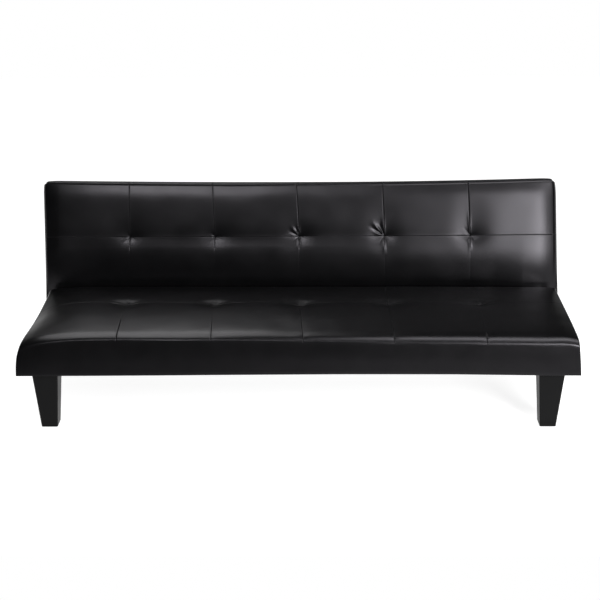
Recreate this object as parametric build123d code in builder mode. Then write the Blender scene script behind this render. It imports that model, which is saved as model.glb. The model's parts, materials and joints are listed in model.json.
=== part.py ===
"""Armless futon sofa bed: quilted seat and back slabs on pine frames, folding on two ratchet hinges.

Frame: +X to the right of someone facing the sofa, -Y the front, +Z up, floor at Z = 0.
The back stands upright as a sofa. Its own flat frame is back_plane: X across, Y up the slab
from the hinge axis, Z out of the face that is leaned on.
"""

from build123d import *
import math
import os

os.makedirs("parts", exist_ok=True)

# Driving dimensions of the two slabs, in millimetres and degrees
overall_width = 1800.0
seat_depth = 500.0
seat_height = 295.0
seat_thickness = 108.0
back_length = 473.0
back_thickness = 104.0
back_lean = 18.0
slab_gap = 12.0

# Quilting: panels between sewn channels, a tuft where the channels cross
column_count = 6
seat_row = 363.0
back_row = 198.0
crown = 16.0
channel_rise = 4.0
row_rise = 5.0
tuft_depth = 8.0
edge_radius = 20.0
corner_inset = 7.0
draw_in = 5.0
cover_wall = 14.0
quilt_thickness = 23.0

# Pine frames, webbing and bottom cloth
batten_depth = 45.0
batten_width = 25.0
block_width = 90.0
block_length = 70.0
strap_width = 60.0
strap_thickness = 2.0
strap_pitch = 190.0
cloth_thickness = 1.0

# Tapered block legs
leg_top = 83.0
leg_bottom_width = 52.0
leg_bottom_depth = 60.0
leg_from_end = 48.5
leg_from_front = 15.0
leg_outer_taper = 20.0
leg_front_taper = 5.0
leg_edge_bevel = 3.0
glide_radius = 14.0
glide_height = 3.0
stud_radius = 4.0
stud_in_leg = 40.0
stud_above_front = 15.0
stud_above_rear = 12.0
insert_radius = 6.0
insert_length = 16.0
slit_size = 22.0
nut_across = 13.0
nut_height = 6.5

# Steel base rails that carry the rear legs and the hinges
rail_width = 20.0
rail_height = 40.0
rail_wall = 1.5
rail_front_reach = 330.0
rail_rear_reach = 252.0
cap_flange = 3.0
cap_plug = 12.0
rail_screw_radius = 4.0
rail_screw_head = 5.3
rail_screw_depth = 30.0
rail_screw_inset = 40.0
rail_screw_rear_inset = 90.0
rail_screw_count = 2
rear_leg_reach = 205.0
leg_plate_size = 80.0
leg_plate_thickness = 4.0

# Ratchet hinges
hinge_from_end = 98.0
plate_thickness = 4.0
plate_gap = 0.3
pivot_below_top = 45.0
pivot_from_end = 50.0
pin_radius = 6.0
pin_head_radius = 10.0
pin_head = 4.0
bush_wall = 2.5
running_fit = 0.05
hub_radius = 26.0
tooth_tip_radius = 34.0
tooth_root_radius = 29.0
tooth_pitch = 12.0
tooth_count = 8
pawl_angle = 283.0
pawl_pivot_y = -28.0
pawl_pivot_z = -50.0
pawl_boss_radius = 8.0
pawl_pin_radius = 4.0
pawl_pin_head_radius = 6.5
pawl_pin_head = 3.0
pawl_lift = 9.0
pawl_side_gap = 0.4
pawl_tip_gap = 0.8
base_hub_radius = 18.0
base_front = 40.0
base_rear = 44.0
arm_elbow = 70.0
arm_neck = 28.0
arm_reach = 172.0
arm_width = 36.0
arm_screw_pitch = 70.0
arm_screw_count = 2
arm_screw_radius = 3.0
arm_screw_across = 10.0
arm_screw_head = 4.0
arm_screw_depth = 18.0
spring_thickness = 0.8
spring_foot_length = 16.0
spring_inset = 9.0
pocket_inner = 16.0
pocket_outer = 40.0
pocket_up = 60.0
pocket_roof = 38.0
fit_gap = 0.2

# Which way a block lies from its place: up, down, behind it, before it, or from one corner
standing = (Align.CENTER, Align.CENTER, Align.MIN)
rearward = (Align.CENTER, Align.MIN, Align.MIN)
forward = (Align.CENTER, Align.MAX, Align.MIN)
from_corner = (Align.MIN, Align.MIN, Align.MIN)
to_corner = (Align.MIN, Align.MAX, Align.MAX)

# Places worked out from the sizes above
half_width = overall_width / 2
rear_reach = rail_rear_reach + cap_flange
seat_rear_y = (seat_depth - rear_reach) / 2
seat_front_y = seat_rear_y - seat_depth
seat_bottom = seat_height - seat_thickness
column_width = overall_width / column_count
fold = math.radians(90 - back_lean)
pivot_y = seat_rear_y + slab_gap + pivot_from_end
pivot_z = seat_height - pivot_below_top
back_face = pivot_below_top
back_rear = back_face - back_thickness
back_top = back_length - pivot_from_end
up_back = (0, math.cos(fold), math.sin(fold))
out_of_back = (0, -math.sin(fold), math.cos(fold))
back_plane = Plane(origin=(0, pivot_y, pivot_z), x_dir=(1, 0, 0), z_dir=out_of_back)
leg_x = half_width - leg_from_end - leg_top / 2
hinge_x = half_width - hinge_from_end
rail_inner_x = hinge_x + plate_thickness
rail_x = rail_inner_x + rail_width / 2
arm_inner_x = hinge_x - plate_gap - plate_thickness
frame_half = half_width - cover_wall - fit_gap
seat_frame_bottom = seat_bottom + cloth_thickness
seat_frame_top = seat_frame_bottom + batten_depth
back_frame_rear = back_rear + cloth_thickness
back_frame_face = back_frame_rear + batten_depth


def world_section(x, drop_y):
    """Section plane across the seat at x: Y to the rear, Z up."""
    return Plane(origin=(x, drop_y, 0), x_dir=(0, 1, 0), z_dir=(1, 0, 0))


def back_section(x):
    """Section plane across the back at x: Y up the slab from the hinge axis, Z out of its face."""
    return Plane(origin=(x, pivot_y, pivot_z), x_dir=up_back, z_dir=(1, 0, 0))


def slab_stations():
    """Places across the slab, each with its puff, tuft share and the drop of the rounded end."""
    stations = []
    for column in range(column_count):
        start = -half_width + column * column_width
        for share in (0.0, 0.2, 0.5, 0.8):
            if column == 0 and share == 0.0:
                continue
            tuft = 1.0 if share == 0.0 else 0.0
            stations.append((start + share * column_width, math.sin(math.pi * share) ** 0.6, tuft, 0.0))
    for turn in (0.0, 45.0, 90.0):
        run = half_width - edge_radius * (1 - math.sin(math.radians(turn)))
        drop = 1 - math.cos(math.radians(turn))
        for side in (-1, 1):
            stations.append((side * run, 0.3 * (1 - drop), 0.25, drop))
    return sorted(stations)


def quilted_slab(section, start, row, end, bottom, top):
    """Crowned, channelled and tufted slab, lofted through its cross sections from end to end."""
    with BuildPart() as slab:
        for x, puff, tuft, drop in slab_stations():
            pull = draw_in * math.cos(math.pi * x / overall_width) + corner_inset * drop
            near = start + pull
            far = end - pull
            crest = top - edge_radius * drop
            rise = channel_rise + (crown - channel_rise) * puff
            seam = crest + row_rise * puff - tuft_depth * tuft
            near_top = (near + edge_radius, crest)
            far_top = (far - edge_radius, crest)
            bend = edge_radius * (1 - math.sqrt(0.5))
            with BuildSketch(section(x)):
                with BuildLine():
                    Line((near, bottom), (near, crest - edge_radius))
                    ThreePointArc((near, crest - edge_radius), (near + bend, crest - bend), near_top)
                    ThreePointArc(near_top, ((near_top[0] + row) / 2, crest + rise), (row, seam))
                    ThreePointArc((row, seam), ((row + far_top[0]) / 2, crest + rise), far_top)
                    ThreePointArc(far_top, (far - bend, crest - bend), (far, crest - edge_radius))
                    Line((far, crest - edge_radius), (far, bottom))
                    Line((far, bottom), (near, bottom))
                make_face()
        loft(ruled=True)
    return slab.part


def seat_section(x):
    """Section plane across the seat at x, measured back from its front edge and up from the floor."""
    return world_section(x, seat_front_y)


# Seat upholstery: the quilted cover, hollow below for the foam and the pine frame
seat_inner_depth = seat_depth - 2 * (cover_wall + draw_in)
seat_mid_y = seat_front_y + seat_depth / 2
seat_cavity_top = seat_height - quilt_thickness
with BuildPart() as seat_cover:
    add(quilted_slab(seat_section, 0, seat_row, seat_depth, seat_bottom, seat_height))
    with Locations((0, seat_mid_y, seat_bottom)):
        Box(
            2 * (frame_half + fit_gap),
            seat_inner_depth + 2 * fit_gap,
            seat_cavity_top - seat_bottom,
            align=standing,
            mode=Mode.SUBTRACT,
        )
seat_cover.part.label = "seat_cover"
export_step(seat_cover.part, "parts/seat_cover.step")

# Seat foam core, resting on the webbing
seat_foam_bottom = seat_frame_top + strap_thickness
with BuildPart() as seat_foam:
    with Locations((0, seat_mid_y, seat_foam_bottom)):
        Box(2 * frame_half, seat_inner_depth, seat_cavity_top - seat_foam_bottom, align=standing)
seat_foam.part.label = "seat_foam"
export_step(seat_foam.part, "parts/seat_foam.step")

# Seat frame: front and rear rails between the two end rails, cross rails over the base rails
seat_frame_front = seat_mid_y - seat_inner_depth / 2
seat_frame_rear = seat_mid_y + seat_inner_depth / 2
rail_length = 2 * (frame_half - batten_width)
with BuildPart() as seat_front_rail:
    with Locations((0, seat_frame_front, seat_frame_bottom)):
        Box(rail_length, batten_width, batten_depth, align=rearward)
seat_front_rail.part.label = "seat_front_rail"
export_step(seat_front_rail.part, "parts/seat_front_rail.step")

with BuildPart() as seat_rear_rail:
    with Locations((0, seat_frame_rear, seat_frame_bottom)):
        Box(rail_length, batten_width, batten_depth, align=forward)
seat_rear_rail.part.label = "seat_rear_rail"
export_step(seat_rear_rail.part, "parts/seat_rear_rail.step")

with BuildPart() as seat_end_rails:
    with GridLocations(2 * frame_half - batten_width, 0, 2, 1):
        with Locations((0, seat_mid_y, seat_frame_bottom)):
            Box(batten_width, seat_inner_depth, batten_depth, align=standing)
seat_end_rails.part.label = "seat_end_rails"
export_step(seat_end_rails.part, "parts/seat_end_rails.step")

# Blocks in the front corners take the front legs' screw inserts
leg_y = seat_front_y + leg_from_front + leg_top / 2
block_front = seat_frame_front + batten_width
block_rear = block_front + block_length
with BuildPart() as seat_corner_blocks:
    with Locations((-leg_x, block_front, seat_frame_bottom), (leg_x, block_front, seat_frame_bottom)):
        Box(block_width, block_length, batten_depth, align=rearward)
seat_corner_blocks.part.label = "seat_corner_blocks"
export_step(seat_corner_blocks.part, "parts/seat_corner_blocks.step")

# Cross rails: one over each base rail, behind the corner block, and one in the middle
rail_screw_span = rail_front_reach - rail_screw_inset - rail_screw_rear_inset
rail_screw_y = seat_rear_y - rail_front_reach + rail_screw_inset
rail_screw_places = [
    (side * rail_x, rail_screw_y + step * rail_screw_span / (rail_screw_count - 1), 0)
    for side in (-1, 1)
    for step in range(rail_screw_count)
]
cross_rear = seat_frame_rear - batten_width
with BuildPart() as seat_cross_rails:
    with Locations((-rail_x, block_rear, seat_frame_bottom), (rail_x, block_rear, seat_frame_bottom)):
        Box(batten_depth, cross_rear - block_rear, batten_depth, align=rearward)
    with Locations((0, block_front, seat_frame_bottom)):
        Box(batten_depth, cross_rear - block_front, batten_depth, align=rearward)
seat_cross_rails.part.label = "seat_cross_rails"
export_step(seat_cross_rails.part, "parts/seat_cross_rails.step")

# Elastic webbing from the front rail to the rear rail
strap_count = int(rail_length // strap_pitch)
with BuildPart() as seat_webbing:
    with Locations((0, seat_mid_y, seat_frame_top)):
        with GridLocations(strap_pitch, 0, strap_count, 1):
            Box(strap_width, seat_inner_depth, strap_thickness, align=standing)
seat_webbing.part.label = "seat_webbing"
export_step(seat_webbing.part, "parts/seat_webbing.step")

# Bottom cloth under the seat frame, slit square round the leg studs; the rail screws pierce it
with BuildPart() as seat_dust_cover:
    with Locations((0, seat_mid_y, seat_bottom)):
        Box(2 * frame_half, seat_inner_depth, cloth_thickness, align=standing)
    with Locations((-leg_x, leg_y, seat_bottom), (leg_x, leg_y, seat_bottom)):
        Box(slit_size, slit_size, 3 * cloth_thickness, mode=Mode.SUBTRACT)
seat_dust_cover.part.label = "seat_dust_cover"
export_step(seat_dust_cover.part, "parts/seat_dust_cover.step")


def tapered_leg(x, y, top, share):
    """Square block leg, its outer and front sides leaning in; share is how far down the taper runs."""
    outer = x + leg_top / 2
    inner = x - leg_top / 2
    front = y - leg_top / 2
    rear = y + leg_top / 2
    foot_outer = outer - leg_outer_taper * share
    foot_inner = foot_outer - leg_top + (leg_top - leg_bottom_width) * share
    foot_front = front + leg_front_taper * share
    foot_rear = foot_front + leg_top - (leg_top - leg_bottom_depth) * share
    with BuildPart() as leg:
        with BuildSketch(Plane(origin=(0, y, 0), x_dir=(1, 0, 0), z_dir=(0, -1, 0))):
            with BuildLine():
                Polyline(
                    (foot_inner, glide_height), (foot_outer, glide_height), (outer, top), (inner, top), close=True
                )
            make_face()
        extrude(amount=leg_top, both=True)
        with BuildSketch(world_section(x, 0)):
            with BuildLine():
                Polyline(
                    (foot_front, glide_height), (foot_rear, glide_height), (rear, top), (front, top), close=True
                )
            make_face()
        extrude(amount=leg_top, both=True, mode=Mode.INTERSECT)
        chamfer(leg.edges().group_by(Axis.Z)[1], leg_edge_bevel)
    return leg.part


# Front legs, screwed straight into the seat's corner blocks
with BuildPart() as front_leg_right:
    add(tapered_leg(leg_x, leg_y, seat_bottom, 1.0))
front_leg_right.part.label = "front_leg_right"
export_step(front_leg_right.part, "parts/front_leg_right.step")

with BuildPart() as front_leg_left:
    mirror(front_leg_right.part, about=Plane.YZ)
front_leg_left.part.label = "front_leg_left"
export_step(front_leg_left.part, "parts/front_leg_left.step")

# Rear legs, shorter blocks of the same taper under the ends of the base rails
rail_bottom = seat_bottom - rail_height
rear_leg_top = rail_bottom - leg_plate_thickness
rear_leg_y = seat_rear_y + rear_leg_reach
rear_share = (rear_leg_top - glide_height) / (seat_bottom - glide_height)
with BuildPart() as rear_leg_right:
    add(tapered_leg(rail_x, rear_leg_y, rear_leg_top, rear_share))
rear_leg_right.part.label = "rear_leg_right"
export_step(rear_leg_right.part, "parts/rear_leg_right.step")

with BuildPart() as rear_leg_left:
    mirror(rear_leg_right.part, about=Plane.YZ)
rear_leg_left.part.label = "rear_leg_left"
export_step(rear_leg_left.part, "parts/rear_leg_left.step")

# Round plastic glides, one under the middle of each leg's foot
glide_places = []
for leg in (front_leg_left, front_leg_right, rear_leg_left, rear_leg_right):
    foot = leg.faces().sort_by(Axis.Z)[0].center()
    glide_places.append((foot.X, foot.Y, 0))
with BuildPart() as leg_glides:
    with Locations(*glide_places):
        Cylinder(glide_radius, glide_height, align=standing)
leg_glides.part.label = "leg_glides"
export_step(leg_glides.part, "parts/leg_glides.step")

# Studs driven into the leg tops, with an insert above each front one and a nut above each rear one
with BuildPart() as front_leg_studs:
    with Locations((-leg_x, leg_y, seat_bottom - stud_in_leg), (leg_x, leg_y, seat_bottom - stud_in_leg)):
        Cylinder(stud_radius, stud_in_leg + stud_above_front, align=standing)
front_leg_studs.part.label = "front_leg_studs"
export_step(front_leg_studs.part, "parts/front_leg_studs.step")

rear_stud_bottom = rear_leg_top - stud_in_leg
with BuildPart() as rear_leg_studs:
    with Locations((-rail_x, rear_leg_y, rear_stud_bottom), (rail_x, rear_leg_y, rear_stud_bottom)):
        Cylinder(stud_radius, stud_in_leg + leg_plate_thickness + stud_above_rear, align=standing)
rear_leg_studs.part.label = "rear_leg_studs"
export_step(rear_leg_studs.part, "parts/rear_leg_studs.step")

with BuildPart() as leg_inserts:
    with Locations((-leg_x, leg_y, seat_frame_bottom), (leg_x, leg_y, seat_frame_bottom)):
        Cylinder(insert_radius, insert_length, align=standing)
        Cylinder(stud_radius, 3 * insert_length, mode=Mode.SUBTRACT)
leg_inserts.part.label = "leg_inserts"
export_step(leg_inserts.part, "parts/leg_inserts.step")

with BuildPart() as rear_leg_nuts:
    with BuildSketch(Plane.XY.offset(rail_bottom + rail_wall)):
        with Locations((-rail_x, rear_leg_y), (rail_x, rear_leg_y)):
            RegularPolygon(nut_across / 2, 6, major_radius=False, rotation=30)
            Circle(stud_radius, mode=Mode.SUBTRACT)
    extrude(amount=nut_height)
rear_leg_nuts.part.label = "rear_leg_nuts"
export_step(rear_leg_nuts.part, "parts/rear_leg_nuts.step")

# Base rails: rectangular steel tubes under the seat, running back past the upright back
rail_front_y = seat_rear_y - rail_front_reach
rail_rear_y = seat_rear_y + rail_rear_reach
bore_width = rail_width - 2 * rail_wall
bore_height = rail_height - 2 * rail_wall
with BuildPart() as base_rail_right:
    rail_start = Plane(origin=(rail_x, rail_front_y, seat_bottom), x_dir=(1, 0, 0), z_dir=(0, 1, 0))
    with BuildSketch(rail_start) as rail_outline:
        with Locations((0, rail_height / 2)):
            Rectangle(rail_width, rail_height)
        chamfer(rail_outline.vertices(), rail_wall)
        with Locations((0, rail_height / 2)):
            Rectangle(bore_width, bore_height, mode=Mode.SUBTRACT)
    extrude(amount=rail_front_reach + rail_rear_reach)
    with Locations(*rail_screw_places[rail_screw_count:]):
        with Locations((0, 0, seat_bottom)):
            Cylinder(rail_screw_radius + fit_gap, 3 * rail_height, mode=Mode.SUBTRACT)
    with Locations((rail_x, rear_leg_y, rail_bottom)):
        Cylinder(stud_radius + fit_gap, 4 * rail_wall, mode=Mode.SUBTRACT)
base_rail_right.part.label = "base_rail_right"
export_step(base_rail_right.part, "parts/base_rail_right.step")

with BuildPart() as base_rail_left:
    mirror(base_rail_right.part, about=Plane.YZ)
base_rail_left.part.label = "base_rail_left"
export_step(base_rail_left.part, "parts/base_rail_left.step")

# Plastic plugs in the four rail ends
cap_mid_z = seat_bottom - rail_height / 2
with BuildPart() as base_rail_caps:
    for end_y, outward in ((rail_front_y, -1), (rail_rear_y, 1)):
        rail_end = Plane(origin=(0, end_y, cap_mid_z), x_dir=(1, 0, 0), z_dir=(0, outward, 0))
        with BuildSketch(rail_end) as flange:
            with Locations((-rail_x, 0), (rail_x, 0)):
                Rectangle(rail_width, rail_height)
            chamfer(flange.vertices(), rail_wall)
        extrude(amount=cap_flange)
        with BuildSketch(rail_end):
            with Locations((-rail_x, 0), (rail_x, 0)):
                Rectangle(bore_width - 2 * fit_gap, bore_height - 2 * fit_gap)
        extrude(amount=-cap_plug)
base_rail_caps.part.label = "base_rail_caps"
export_step(base_rail_caps.part, "parts/base_rail_caps.step")

# Hex-headed screws that hold each base rail up against the seat's cross rail
with BuildPart() as base_rail_screws:
    with BuildSketch(Plane.XY.offset(rail_bottom - rail_screw_head)):
        with Locations(*[(x, y) for x, y, z in rail_screw_places]):
            RegularPolygon(nut_across / 2, 6, major_radius=False)
    extrude(amount=rail_screw_head)
    with Locations(*rail_screw_places):
        with Locations((0, 0, rail_bottom)):
            Cylinder(rail_screw_radius, rail_height + rail_screw_depth, align=standing)
base_rail_screws.part.label = "base_rail_screws"
export_step(base_rail_screws.part, "parts/base_rail_screws.step")

# Steel pads welded under the rails, where the rear legs screw on
with BuildPart() as rear_leg_plates:
    with BuildSketch(Plane.XY.offset(rear_leg_top)):
        with Locations((-rail_x, rear_leg_y), (rail_x, rear_leg_y)):
            Rectangle(leg_plate_size, leg_plate_size)
            Circle(stud_radius + fit_gap, mode=Mode.SUBTRACT)
    extrude(amount=leg_plate_thickness)
rear_leg_plates.part.label = "rear_leg_plates"
export_step(rear_leg_plates.part, "parts/rear_leg_plates.step")


def hinge_section(x):
    """Section plane of the hinge at x, around its axis: Y to the rear, Z up."""
    return Plane(origin=(x, pivot_y, pivot_z), x_dir=(0, 1, 0), z_dir=(1, 0, 0))


def around_axis(radius, angle):
    """Point at a radius and an angle in degrees about the hinge axis."""
    return (radius * math.cos(math.radians(angle)), radius * math.sin(math.radians(angle)))


# Hinge bases: plates on the rails' inner sides that carry the hinge pin, the pawl and its leaf spring
rail_top_z = seat_bottom - pivot_z
rail_bottom_z = rail_bottom - pivot_z
with BuildPart() as hinge_base_right:
    with BuildSketch(hinge_section(hinge_x)):
        Circle(base_hub_radius)
        with Locations((pawl_pivot_y, pawl_pivot_z)):
            Circle(1.4 * pawl_boss_radius)
        with Locations((-base_front, rail_bottom_z)):
            Rectangle(base_front + base_rear, rail_height, align=(Align.MIN, Align.MIN))
        make_hull()
        Circle(pin_radius, mode=Mode.SUBTRACT)
        with Locations((pawl_pivot_y, pawl_pivot_z)):
            Circle(pawl_pin_radius, mode=Mode.SUBTRACT)
    extrude(amount=plate_thickness)
hinge_base_right.part.label = "hinge_base_right"
export_step(hinge_base_right.part, "parts/hinge_base_right.step")

with BuildPart() as hinge_base_left:
    mirror(hinge_base_right.part, about=Plane.YZ)
hinge_base_left.part.label = "hinge_base_left"
export_step(hinge_base_left.part, "parts/hinge_base_left.step")

# Riveted hinge pins through both plates
with BuildPart() as hinge_pins:
    with BuildSketch(hinge_section(arm_inner_x - fit_gap)):
        Circle(pin_radius)
    extrude(amount=rail_inner_x - arm_inner_x + fit_gap)
    with BuildSketch(hinge_section(rail_inner_x)):
        Circle(pin_head_radius)
    extrude(amount=pin_head)
    with BuildSketch(hinge_section(arm_inner_x - fit_gap)):
        Circle(pin_head_radius)
    extrude(amount=-pin_head)
    mirror(about=Plane.YZ)
hinge_pins.part.label = "hinge_pins"
export_step(hinge_pins.part, "parts/hinge_pins.step")

# Hinge arms: each screwed to a stile of the back, with a ratchet sector round the pin
bush_radius = pin_radius + running_fit + bush_wall
rest_gap = pawl_angle - math.degrees(fold)
arm_mid = back_frame_rear + batten_depth / 2
arm_end = arm_reach - arm_width / 2
arm_screws = [(arm_end - step * arm_screw_pitch, arm_mid) for step in range(arm_screw_count)]
with BuildPart() as hinge_arm_right:
    with BuildSketch(back_section(arm_inner_x)):
        Circle(hub_radius)
        SlotCenterPoint((arm_elbow / 2, arm_mid / 2), (arm_elbow, arm_mid), arm_neck)
        with Locations(((arm_elbow + arm_end) / 2, arm_mid)):
            SlotCenterToCenter(arm_end - arm_elbow, arm_width)
        with BuildLine():
            first = rest_gap - 1.5 * tooth_pitch
            Line((0, 0), around_axis(tooth_root_radius, first))
            for tooth in range(tooth_count):
                gap = rest_gap + (tooth - 1) * tooth_pitch
                steep_foot = around_axis(tooth_root_radius, gap + 0.24 * tooth_pitch)
                steep_tip = around_axis(tooth_tip_radius, gap + 0.34 * tooth_pitch)
                slope_tip = around_axis(tooth_tip_radius, gap + 0.43 * tooth_pitch)
                slope_foot = around_axis(tooth_root_radius, gap + 0.86 * tooth_pitch)
                before = around_axis(tooth_root_radius, first if tooth == 0 else gap - 0.14 * tooth_pitch)
                Polyline(before, steep_foot, steep_tip, slope_tip, slope_foot)
            Line(slope_foot, (0, 0))
        make_face()
        Circle(bush_radius, mode=Mode.SUBTRACT)
        with Locations(*arm_screws):
            Circle(arm_screw_radius + fit_gap, mode=Mode.SUBTRACT)
    extrude(amount=plate_thickness)
hinge_arm_right.part.label = "hinge_arm_right"
export_step(hinge_arm_right.part, "parts/hinge_arm_right.step")

with BuildPart() as hinge_arm_left:
    mirror(hinge_arm_right.part, about=Plane.YZ)
hinge_arm_left.part.label = "hinge_arm_left"
export_step(hinge_arm_left.part, "parts/hinge_arm_left.step")

# Nylon bushes pressed into the arms, running on the pins
with BuildPart() as hinge_bushes:
    with BuildSketch(back_section(arm_inner_x)):
        Circle(bush_radius)
        Circle(pin_radius + running_fit, mode=Mode.SUBTRACT)
    extrude(amount=plate_thickness)
    mirror(about=Plane.YZ)
hinge_bushes.part.label = "hinge_bushes"
export_step(hinge_bushes.part, "parts/hinge_bushes.step")

# Pawls, drawn engaged around their own pins and held lifted by pawl_lift
lift = math.radians(-pawl_lift)
pawl_inner_x = arm_inner_x + pawl_side_gap
pawl_thickness = plate_thickness - pawl_side_gap
pawl_plane = Plane(
    origin=(pawl_inner_x, pivot_y + pawl_pivot_y, pivot_z + pawl_pivot_z),
    x_dir=(0, math.cos(lift), math.sin(lift)),
    z_dir=(1, 0, 0),
)


def on_pawl(radius, turn):
    """Point of the engaged pawl at a radius from the hinge axis, turned from its tip, seen from its pin."""
    place = around_axis(radius, pawl_angle + turn)
    return (place[0] - pawl_pivot_y, place[1] - pawl_pivot_z)


tip_radius = tooth_root_radius + pawl_tip_gap
with BuildPart() as pawl_right:
    with BuildSketch(pawl_plane):
        with BuildLine():
            Polyline(
                on_pawl(tip_radius, -0.04 * tooth_pitch),
                on_pawl(tip_radius, 0.13 * tooth_pitch),
                on_pawl(tooth_tip_radius + pawl_boss_radius, 0.13 * tooth_pitch),
                (0, -pawl_boss_radius),
                (-pawl_boss_radius / 2, pawl_boss_radius * 0.86),
                on_pawl(tooth_tip_radius + 3 * pawl_tip_gap, -0.62 * tooth_pitch),
                close=True,
            )
        make_face()
        Circle(pawl_boss_radius)
        Circle(pawl_pin_radius + running_fit, mode=Mode.SUBTRACT)
    extrude(amount=pawl_thickness)
pawl_right.part.label = "pawl_right"
export_step(pawl_right.part, "parts/pawl_right.step")

with BuildPart() as pawl_left:
    mirror(pawl_right.part, about=Plane.YZ)
pawl_left.part.label = "pawl_left"
export_step(pawl_left.part, "parts/pawl_left.step")

# Pawl pins, riveted over outside the hinge bases
pawl_pin_place = Plane(
    origin=(pawl_inner_x, pivot_y + pawl_pivot_y, pivot_z + pawl_pivot_z), x_dir=(0, 1, 0), z_dir=(1, 0, 0)
)
with BuildPart() as pawl_pins:
    with BuildSketch(pawl_pin_place):
        Circle(pawl_pin_radius)
    extrude(amount=rail_inner_x - pawl_inner_x)
    with BuildSketch(pawl_pin_place.offset(rail_inner_x - pawl_inner_x)):
        Circle(pawl_pin_head_radius)
    extrude(amount=pawl_pin_head)
    mirror(about=Plane.YZ)
pawl_pins.part.label = "pawl_pins"
export_step(pawl_pins.part, "parts/pawl_pins.step")

# Leaf springs that press the pawls up into the ratchets, each welded by its foot to the hinge base
spring_foot = (base_rear - spring_inset, rail_top_z - spring_inset)
under_pawl = on_pawl(tooth_tip_radius + pawl_boss_radius, -0.5 * tooth_pitch)
touch = pawl_plane.from_local_coords((under_pawl[0], under_pawl[1] - 4 * spring_thickness, 0))
spring_tip = (touch.Y - pivot_y, touch.Z - pivot_z)
with BuildPart() as pawl_springs:
    with BuildSketch(hinge_section(pawl_inner_x)):
        with BuildLine():
            Line((spring_foot[0], spring_foot[1] - spring_foot_length), spring_foot)
            TangentArc(spring_foot, spring_tip, tangent=(0, 1))
        trace(line_width=spring_thickness)
    extrude(amount=hinge_x - pawl_inner_x)
    mirror(about=Plane.YZ)
pawl_springs.part.label = "pawl_springs"
export_step(pawl_springs.part, "parts/pawl_springs.step")

# Back upholstery: the quilted cover, hollow behind, with a pocket round each hinge
back_inner_start = -pivot_from_end + cover_wall + draw_in
back_inner_end = back_top - cover_wall - draw_in
back_inner_length = back_inner_end - back_inner_start
back_cavity_face = back_face - quilt_thickness
pocket_start = arm_inner_x - pocket_inner
pocket_end = hinge_x + pocket_outer
pocket_reach = pivot_from_end + pocket_up
with BuildPart(back_plane, mode=Mode.PRIVATE) as hinge_pockets:
    with Locations((-pocket_end, pocket_up, pocket_roof), (pocket_start, pocket_up, pocket_roof)):
        Box(pocket_end - pocket_start, 2 * pocket_reach, 2 * back_thickness, align=to_corner)

with BuildPart() as back_cover:
    add(quilted_slab(back_section, -pivot_from_end, back_top - back_row, back_top, back_rear, back_face))
    with BuildSketch(back_plane.offset(back_rear)):
        with Locations((0, (back_inner_start + back_inner_end) / 2)):
            Rectangle(2 * (frame_half + fit_gap), back_inner_length + 2 * fit_gap)
    extrude(amount=back_cavity_face - back_rear, mode=Mode.SUBTRACT)
    add(hinge_pockets.part, mode=Mode.SUBTRACT)
back_cover.part.label = "back_cover"
export_step(back_cover.part, "parts/back_cover.step")

# Back foam core, in front of the webbing and cut away round the hinges
back_foam_rear = back_frame_face + strap_thickness
with BuildPart() as back_foam:
    with BuildSketch(back_plane.offset(back_foam_rear)):
        with Locations((0, (back_inner_start + back_inner_end) / 2)):
            Rectangle(2 * frame_half, back_inner_length)
    extrude(amount=back_cavity_face - back_foam_rear)
    add(hinge_pockets.part, mode=Mode.SUBTRACT)
back_foam.part.label = "back_foam"
export_step(back_foam.part, "parts/back_foam.step")

# Back frame: a top rail over the stiles, a bottom rail between the inner pair that carry the hinges
stile_end = back_inner_end - batten_width
stile_length = stile_end - back_inner_start
inner_stile_x = arm_inner_x - batten_width
outer_stile_x = pocket_end + 2 * fit_gap
with BuildPart(back_plane) as back_top_rail:
    with Locations((0, back_inner_end, back_frame_rear)):
        Box(2 * frame_half, batten_width, batten_depth, align=forward)
back_top_rail.part.label = "back_top_rail"
export_step(back_top_rail.part, "parts/back_top_rail.step")

with BuildPart(back_plane) as back_bottom_rail:
    with Locations((0, back_inner_start, back_frame_rear)):
        Box(2 * inner_stile_x, batten_width, batten_depth, align=rearward)
back_bottom_rail.part.label = "back_bottom_rail"
export_step(back_bottom_rail.part, "parts/back_bottom_rail.step")

with BuildPart(back_plane) as back_inner_stiles:
    with Locations(
        (-arm_inner_x, back_inner_start, back_frame_rear),
        (inner_stile_x, back_inner_start, back_frame_rear),
    ):
        Box(batten_width, stile_length, batten_depth, align=from_corner)
back_inner_stiles.part.label = "back_inner_stiles"
export_step(back_inner_stiles.part, "parts/back_inner_stiles.step")

with BuildPart(back_plane) as back_outer_stiles:
    with Locations(
        (-outer_stile_x - batten_width, back_inner_start, back_frame_rear),
        (outer_stile_x, back_inner_start, back_frame_rear),
    ):
        Box(batten_width, stile_length, batten_depth, align=from_corner)
back_outer_stiles.part.label = "back_outer_stiles"
export_step(back_outer_stiles.part, "parts/back_outer_stiles.step")

# Short blocks that tie each outer stile to the hinge bay, just above the pocket
bay_start = hinge_x + arm_screw_head
with BuildPart(back_plane) as back_bay_blocks:
    with Locations((-outer_stile_x, pocket_up, back_frame_rear), (bay_start, pocket_up, back_frame_rear)):
        Box(outer_stile_x - bay_start, batten_width, batten_depth, align=from_corner)
back_bay_blocks.part.label = "back_bay_blocks"
export_step(back_bay_blocks.part, "parts/back_bay_blocks.step")

mid_stile_start = back_inner_start + batten_width
with BuildPart(back_plane) as back_mid_stiles:
    with Locations((0, mid_stile_start, back_frame_rear)):
        with GridLocations(inner_stile_x / 2, 0, 3, 1):
            Box(batten_width, stile_end - mid_stile_start, batten_depth, align=rearward)
back_mid_stiles.part.label = "back_mid_stiles"
export_step(back_mid_stiles.part, "parts/back_mid_stiles.step")

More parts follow.
